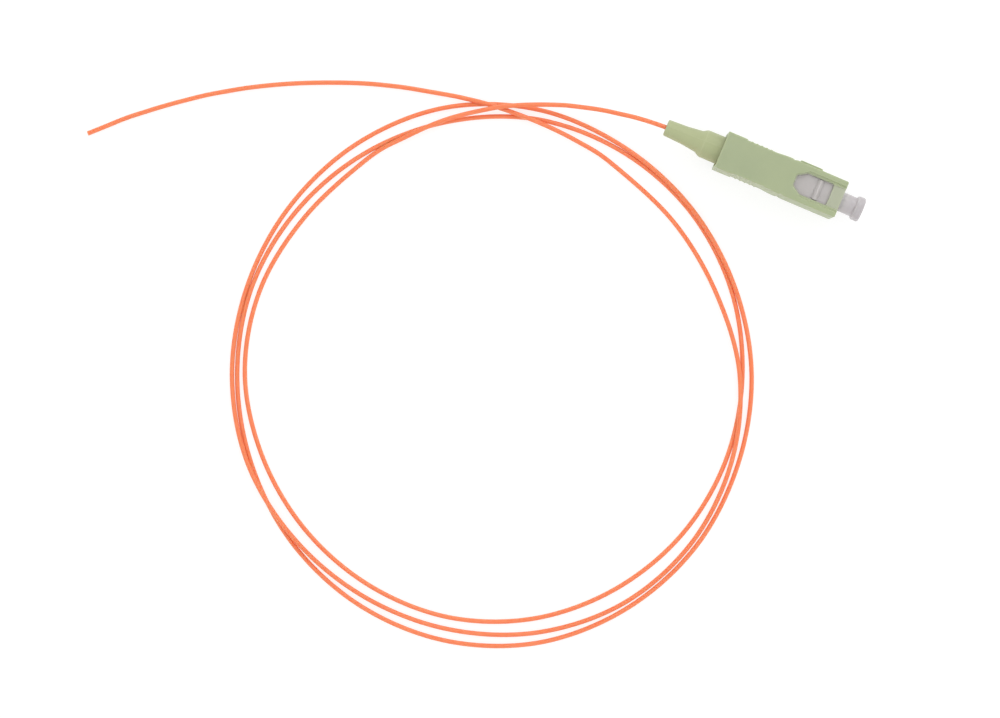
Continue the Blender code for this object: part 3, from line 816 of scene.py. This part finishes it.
def cut_mouth(piece, end, inward):
    """Flares the cavity's mouth at one end of the grip."""
    inner = rounded(rectangle(CAVITY_WIDTH, CAVITY_HEIGHT), CAVITY_CORNER_ROUND)
    wide = MOUTH_CHAMFER + CUT_MARGIN
    outer = rounded(rectangle(CAVITY_WIDTH + 2 * wide, CAVITY_HEIGHT + 2 * wide), CAVITY_CORNER_ROUND + wide)
    levels = (end + inward * MOUTH_CHAMFER, end - inward * CUT_MARGIN)
    combine(piece, "DIFFERENCE", flared("mouth", (inner, outer), levels, forward))


def make_grip():
    """The outer housing with its key, ribbed recesses, latch windows and channels, ledges and flared mouths."""
    (rear, front), (_, key_top), (low, high) = span("grip")
    edge = rounded([(CUT_MARGIN, 0.0), (0.0, 0.0), (0.0, CUT_MARGIN)], GRIP_CORNER_ROUND, False)[1:-1]
    insets = [inset for inset, _ in edge + edge[::-1]]
    levels = [low + rise for _, rise in edge] + [high - rise for _, rise in edge[::-1]]
    grip = flared("grip_housing", [grip_plan(rear, front, inset) for inset in insets], levels, upward)
    beyond_ends = (rear - CUT_MARGIN, front + CUT_MARGIN)
    key_front = front - KEY_FROM_FRONT
    key_root = GRIP_WIDTH / 2 - RECESS_DEPTH - EDGE_ROUND
    key_plan = [
        (key_front - KEY_LENGTH, key_root), (key_front, key_root), (key_front, key_top - KEY_NOSE),
        (key_front - KEY_NOSE, key_top), (key_front - KEY_LENGTH, key_top),
    ]
    combine(grip, "UNION", prism("key", key_plan, -KEY_WIDTH / 2, KEY_WIDTH / 2, upward))
    cavity = rounded(rectangle(CAVITY_WIDTH, CAVITY_HEIGHT), CAVITY_CORNER_ROUND)
    combine(grip, "DIFFERENCE", prism("cavity", cavity, *beyond_ends, forward))
    window_front = front - WINDOW_FROM_FRONT
    beyond = high + CUT_MARGIN
    channel_floor, bridge_floor = high - CHANNEL_DEPTH, high - BRIDGE_DEPTH
    window = window_plan(window_front)
    combine(grip, "DIFFERENCE", prism("window", window, -beyond, beyond, upward))
    channel_run = (window_front - WINDOW_LENGTH + WINDOW_POINT_LENGTH, front + CUT_MARGIN)
    bridge_run = (window_front - CUT_MARGIN, front + CUT_MARGIN)
    ledge_rear = rear + LEDGE_FROM_REAR
    ledge_run = (ledge_rear, ledge_rear + LEDGE_LENGTH)
    ledge_band = (-LEDGE_WIDTH / 2, LEDGE_WIDTH / 2)
    for sign in (1, -1):
        channel = trough(CHANNEL_WIDTH, CHANNEL_SLOPE, sign * channel_floor, sign * high, sign * beyond)
        combine(grip, "DIFFERENCE", prism("channel", channel, *channel_run, forward))
        bridge = trough(WINDOW_WIDTH, BRIDGE_SLOPE, sign * bridge_floor, sign * channel_floor, sign * beyond)
        combine(grip, "DIFFERENCE", prism("bridge", bridge, *bridge_run, forward))
        lip = (window, window_plan(window_front, WINDOW_LIP), window_plan(window_front, WINDOW_LIP))
        levels = (sign * (channel_floor - WINDOW_LIP), sign * (channel_floor + EDGE_ROUND), sign * beyond)
        combine(grip, "DIFFERENCE", flared("lip", lip, levels, upward))
        reach = sorted((sign * (CAVITY_HEIGHT / 2 - LEDGE_RISE), sign * (CAVITY_HEIGHT / 2 + LEDGE_RISE)))
        combine(grip, "UNION", block("ledge", ledge_run, ledge_band, reach))
    cut_mouth(grip, front, -1)
    cut_mouth(grip, rear, 1)
    soften(grip)
    place_piece(grip, "grip", "grip", grip_material())


def make_inner_housing():
    """The inner housing: its bore and shoulder, its latch ribs with their ramps, and the grooves for the ledges."""
    (rear, front), (left, right), (_, rib_top) = span("plug_frame")
    half = HOUSING_HEIGHT / 2
    section = chamfered(right - left, HOUSING_HEIGHT, HOUSING_CHAMFER)
    housing = prism("inner_housing", section, rear, front, forward)
    wide, hole = HOUSING_BORE / 2, SHOULDER_HOLE / 2
    shoulder = front - SHOULDER_BACK
    shoulder_front = shoulder + SHOULDER_THICKNESS
    bore = [
        (rear - CUT_MARGIN, 0), (rear - CUT_MARGIN, wide), (shoulder, wide), (shoulder, hole),
        (shoulder_front, hole), (shoulder_front, wide), (front - BORE_CHAMFER, wide),
        (front + CUT_MARGIN, wide + BORE_CHAMFER + CUT_MARGIN), (front + CUT_MARGIN, 0),
    ]
    combine(housing, "DIFFERENCE", turned("bore", bore, SMALL_SIDES))
    rib_front = front - LATCH_BACK
    rib_rear = rib_front - LATCH_LENGTH
    groove_rear = rear + GROOVE_FROM_REAR
    groove_run = (groove_rear, groove_rear + GROOVE_LENGTH)
    groove_band = (-GROOVE_WIDTH / 2, GROOVE_WIDTH / 2)
    for sign in (1, -1):
        root, top, face = sign * (half - HOUSING_CHAMFER / 2), sign * rib_top, sign * half
        rib = [
            (rib_rear, root), (rib_front, root), (rib_front, face), (rib_front - LATCH_RAMP, top),
            (rib_rear + LATCH_RAMP, top), (rib_rear, face),
        ]
        rib = rounded(rib, [0.0, 0.0, LATCH_FILLET, LATCH_FILLET, LATCH_FILLET, LATCH_FILLET])
        combine(housing, "UNION", prism("rib", rib, -LATCH_WIDTH / 2, LATCH_WIDTH / 2, sideways))
        floor, above = sign * (half - LEDGE_RISE), sign * (half + CUT_MARGIN)
        combine(housing, "DIFFERENCE", block("groove", groove_run, groove_band, sorted((floor, above))))
    soften(housing)
    place_piece(housing, "plug", "plug_frame", housing_material())


def make_ferrule():
    """The ceramic pin with its tip turned down and domed."""
    (rear, front), (_, radius), _ = span("ferrule")
    tip = radius * FERRULE_TIP_SHARE
    corners = [(rear, 0), (rear, radius), (front - FERRULE_TAPER, radius), (front - FERRULE_DOME, tip)]
    profile = rounded(corners, [0, 0.15, 0.2, 0], False)
    for i in range(1, FERRULE_DOME_STEPS):
        share = i / FERRULE_DOME_STEPS
        profile.append((front - FERRULE_DOME * (1 - share) ** 2, tip * math.sqrt(1 - share ** 2)))
    profile.append((front, 0))
    ferrule = turned("ferrule_pin", profile)
    even_shading(ferrule)
    place_piece(ferrule, "ferrule", "ferrule", zirconia_material())


def make_collar():
    """The metal collar behind the ferrule, with notches in its rim and its tail tube."""
    (tail_end, front), (_, rim), _ = span("ferrule_flange")
    bore, tail, socket = FIBRE_BORE / 2, COLLAR_TAIL_DIAMETER / 2, FERRULE_SOCKET / 2
    back = front - COLLAR_THICKNESS
    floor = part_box("ferrule")[0].x / MM - SOCKET_GAP
    corners = [
        (front, rim), (back, rim), (back, tail), (tail_end, tail), (tail_end, bore), (floor, bore),
        (floor, socket), (front, socket),
    ]
    collar = turned("ferrule_collar", rounded(corners, COLLAR_ROUND), SMALL_SIDES)
    for i in range(COLLAR_NOTCHES):
        angle = math.tau * i / COLLAR_NOTCHES
        notch = block(
            "notch", (back - CUT_MARGIN, front + CUT_MARGIN), (rim - COLLAR_NOTCH_DEPTH, rim + CUT_MARGIN),
            (-COLLAR_NOTCH_WIDTH / 2, COLLAR_NOTCH_WIDTH / 2),
        )
        for vertex in notch.data.vertices:
            about = vertex.co - PLUG_AXIS
            y = about.y * math.cos(angle) - about.z * math.sin(angle)
            z = about.y * math.sin(angle) + about.z * math.cos(angle)
            vertex.co = Vector((about.x, y, z)) + PLUG_AXIS
        combine(collar, "DIFFERENCE", notch)
    even_shading(collar)
    place_piece(collar, "ferrule", "ferrule_flange", nickel_material())


def make_spring():
    """The compression spring, wound close at both ends, which in the real plug shortens as the ferrule is pushed
    back.
    """
    (rear, front), (_, outer), _ = span("ferrule_spring")
    wire = SPRING_WIRE / 2
    radius = outer - wire
    steps = round(SPRING_TURNS * SPRING_POINTS_PER_TURN)
    low, high = rear + wire, front - wire
    closed = SPRING_CLOSED_TURNS / SPRING_TURNS
    rings = []
    for i in range(steps + 1):
        share = i / steps
        open_share = min(1.0, max(0.0, (share - closed) / (1 - 2 * closed)))
        end_rise = closed * SPRING_TURNS * SPRING_WIRE
        run = min(share, closed) / closed * end_rise + max(0.0, share - 1 + closed) / closed * end_rise
        x = low + run + open_share * (high - low - 2 * end_rise)
        angle = math.tau * share * SPRING_TURNS
        outward = Vector((0.0, math.cos(angle), math.sin(angle)))
        middle = Vector((x, 0.0, 0.0)) + outward * radius
        ring = []
        for j in range(SPRING_WIRE_SIDES):
            turn = math.tau * j / SPRING_WIRE_SIDES
            ring.append(middle + (outward * math.cos(turn) + Vector((math.sin(turn), 0.0, 0.0))) * wire)
        rings.append(ring)
    spring = loft("spring_coil", rings)
    even_shading(spring)
    place_piece(spring, "plug", "ferrule_spring", spring_material())
    settle_for_squash(spring)
    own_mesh(spring)


def settle_for_squash(piece):
    """Leaves a piece with its own mesh and no modifiers, smooth shaded."""
    piece.modifiers.clear()
    piece.data.shade_smooth()


def make_rear_stop():
    """The stop that closes the inner housing, with gripping rings on the barrel that the boot is pushed over."""
    (end, front), (_, collar), _ = span("rear_body")
    bore, plug, barrel = FIBRE_BORE / 2, STOP_PLUG_DIAMETER / 2, STOP_BARREL_DIAMETER / 2
    groove = barrel - STOP_RING_DEPTH
    collar_front = front - STOP_PLUG_LENGTH
    collar_rear = collar_front - STOP_COLLAR_THICKNESS
    corners = [(front, bore), (front, plug), (collar_front, plug), (collar_front, collar), (collar_rear, collar)]
    corners.append((collar_rear, groove))
    for i in range(STOP_RING_COUNT):
        start = collar_rear - STOP_RING_PITCH * (i + STOP_RING_FIRST)
        corners += [(start, groove), (start, barrel), (start - STOP_RING_LENGTH, groove)]
    corners += [(end, groove), (end, bore)]
    stop = turned("rear_stop", rounded(corners, STOP_ROUND), SMALL_SIDES)
    even_shading(stop)
    place_piece(stop, "plug", "rear_body", stop_material())


def raise_seams(piece, pocket_end, over_barrel):
    """Two fine mould lines along the outside, one near the top and the other opposite."""
    for vertex in piece.data.vertices:
        outward = (vertex.co - PLUG_AXIS) / MM
        hollow = over_barrel if outward.x > pocket_end else FIBRE_BORE / 2
        outward.x = 0.0
        off_seam = abs(math.remainder(math.atan2(outward.y, outward.z) - SEAM_ANGLE, math.pi))
        if outward.length > hollow + SEAM_WALL and off_seam < math.pi / TURNED_SIDES / 2:
            vertex.co += outward.normalized() * SEAM_RISE * MM


def make_boot():
    """The soft bend relief: wide where it enters the grip, stepped in, then tapered, with its mould lines."""
    (end, front), (_, root), _ = span("boot")
    step = end + BOOT_STEP_FROM_END
    over_barrel = STOP_BARREL_DIAMETER / 2 + BOOT_WALL_GAP
    pocket_end = front - BOOT_POCKET_LENGTH
    corners = [
        (front, over_barrel), (front, root), (step, BOOT_STEP_DIAMETER / 2),
        (step - BOOT_STEP_RAMP, BOOT_NECK_DIAMETER / 2), (end + BOOT_WAIST_FROM_END, BOOT_WAIST_DIAMETER / 2),
        (end, BOOT_END_DIAMETER / 2), (end, FIBRE_BORE / 2), (pocket_end, FIBRE_BORE / 2), (pocket_end, over_barrel),
    ]
    radii = [0.1, 0.3, 0.8, 0.8, 8.0, 0.3, 0.12, 0.1, 0.1]
    boot = turned("boot_sleeve", rounded(corners, radii))
    raise_seams(boot, pocket_end, over_barrel)
    even_shading(boot)
    place_piece(boot, "plug", "boot", boot_material())


def make_cap():
    """The milky cap: a blind barrel that slips over the ferrule, and a finger flange with a dished end."""
    (rear, front), (_, flange), _ = span("dust_cap")
    barrel, bore, dish = CAP_BARREL_DIAMETER / 2, CAP_BORE / 2, CAP_DISH_DIAMETER / 2
    flange_rear = front - CAP_FLANGE_LENGTH
    corners = [
        (rear + CAP_BORE_DEPTH, 0), (rear + CAP_BORE_DEPTH, bore), (rear, bore), (rear, barrel),
        (flange_rear, barrel), (flange_rear, flange - CAP_CHAMFER), (flange_rear + CAP_CHAMFER, flange),
        (front - CAP_CHAMFER, flange), (front, flange - CAP_CHAMFER), (front, dish),
        (front - CAP_DISH_DEPTH, dish - CAP_DISH_DEPTH), (front - CAP_DISH_DEPTH, 0),
    ]
    radii = [0, 0.3, 0.1, 0.15, 0.15, 0.1, 0.15, 0.15, 0.1, 0.1, 0.15, 0]
    cap = turned("cap_body", rounded(corners, radii, False))
    even_shading(cap)
    place_piece(cap, "dust_cap", "dust_cap", cap_material())


def smooth_points(chosen, spacing):
    """Evenly spaced points along the smooth curve through the chosen ones."""
    points = [Vector(point) for point in chosen]
    padded = [2 * points[0] - points[1], *points, 2 * points[-1] - points[-2]]
    fine = []
    for before, start, end, after in zip(padded, padded[1:], padded[2:], padded[3:]):
        for i in range(CURVE_STEPS):
            t = i / CURVE_STEPS
            fine.append(0.5 * (
                2 * start + (end - before) * t + (2 * before - 5 * start + 4 * end - after) * t ** 2
                + (3 * start - before - 3 * end + after) * t ** 3
            ))
    fine.append(points[-1])
    reach = [0.0]
    for near, far in zip(fine, fine[1:]):
        reach.append(reach[-1] + (far - near).length)
    count = max(2, round(reach[-1] / spacing))
    even, k = [], 0
    for i in range(count + 1):
        goal = reach[-1] * i / count
        while k < len(fine) - 2 and reach[k + 1] < goal:
            k += 1
        share = (goal - reach[k]) / (reach[k + 1] - reach[k])
        even.append(fine[k].lerp(fine[k + 1], min(1.0, share)))
    return even


def turn_points():
    """The points of the loose turns, raised where one passes over another."""
    points = []
    for i, radius in enumerate(TURN_RADII):
        run = i * TURN_STEP
        height = FIBRE_DIAMETER / 2
        for middle, half, rise in HUMPS:
            off = abs(run - middle)
            if off < half:
                height += rise * (1 + math.cos(math.pi * off / half)) / 2
        angle = TURN_START + run
        x = COIL_CENTRE[0] + radius * math.cos(angle)
        y = COIL_CENTRE[1] + radius * math.sin(angle)
        points.append((x, y, height))
    return points


def fibre_route():
    """Every chosen point of the fibre, from inside the boot's end to the cut end."""
    exit_x = span("boot")[0][0]
    height = PLUG_AXIS.z / MM
    inside = [(exit_x + FIBRE_INSIDE, 0.0, height), (exit_x, 0.0, height)]
    return inside + LEAD_ROUTE + turn_points() + TAIL_ROUTE, Vector((exit_x, 0.0, height)) * MM


def make_cut_end(points):
    """The glass and its clear coating, which show as fine rods in the fibre's cut end."""
    tip = points[-1]
    along = (points[-1] - points[-2]).normalized()
    across = along.cross(Vector((0.0, 0.0, 1.0))).normalized()
    over = across.cross(along)
    coating, glass = COATING_DIAMETER / 2, GLASS_DIAMETER / 2
    step = GLASS_STANDS_OUT / 2
    corners = [(-CUT_END_DEPTH, coating), (step, coating), (step, glass), (GLASS_STANDS_OUT, glass)]
    rings = []
    for reach, radius in rounded(corners, CUT_END_ROUND, False):
        ring = []
        for i in range(CUT_END_SIDES):
            angle = math.tau * i / CUT_END_SIDES
            outward = across * math.cos(angle) + over * math.sin(angle)
            ring.append(tip + along * reach + outward * radius - PLUG_AXIS / MM)
        rings.append(ring)
    end = loft("fibre_cut_end", rings)
    even_shading(end)
    end.data.materials.append(glass_material())
    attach(end, "plug")
    return end


def make_fibre():
    """The whole fibre as one round curve, with its cut end."""
    chosen, exit_point = fibre_route()
    points = [Vector((x, y, max(z, FIBRE_DIAMETER / 2))) for x, y, z in smooth_points(chosen, FIBRE_STEP)]
    curve = bpy.data.curves.new("fibre_cord", "CURVE")
    curve.dimensions = "3D"
    curve.bevel_depth = FIBRE_DIAMETER / 2 * MM
    curve.bevel_resolution = FIBRE_BEVEL_RESOLUTION
    curve.use_fill_caps = True
    spline = curve.splines.new("POLY")
    spline.points.add(len(points) - 1)
    for target, point in zip(spline.points, points):
        target.co = (*(point * MM), 1.0)
    cord = bpy.data.objects.new("fibre_cord", curve)
    bpy.context.collection.objects.link(cord)
    surface = fibre_material()
    curve.materials.append(surface)
    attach(cord, "plug")
    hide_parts("fibre_lead", "fibre_coil", "fibre_tail")
    make_cut_end(points)
    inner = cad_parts["fibre_in_plug"]
    inner.data.materials.clear()
    inner.data.materials.append(surface)


make_camera()
make_fibre()
make_floor()
make_light()
make_grip()
make_inner_housing()
make_ferrule()
make_collar()
make_spring()
make_rear_stop()
make_boot()
make_cap()
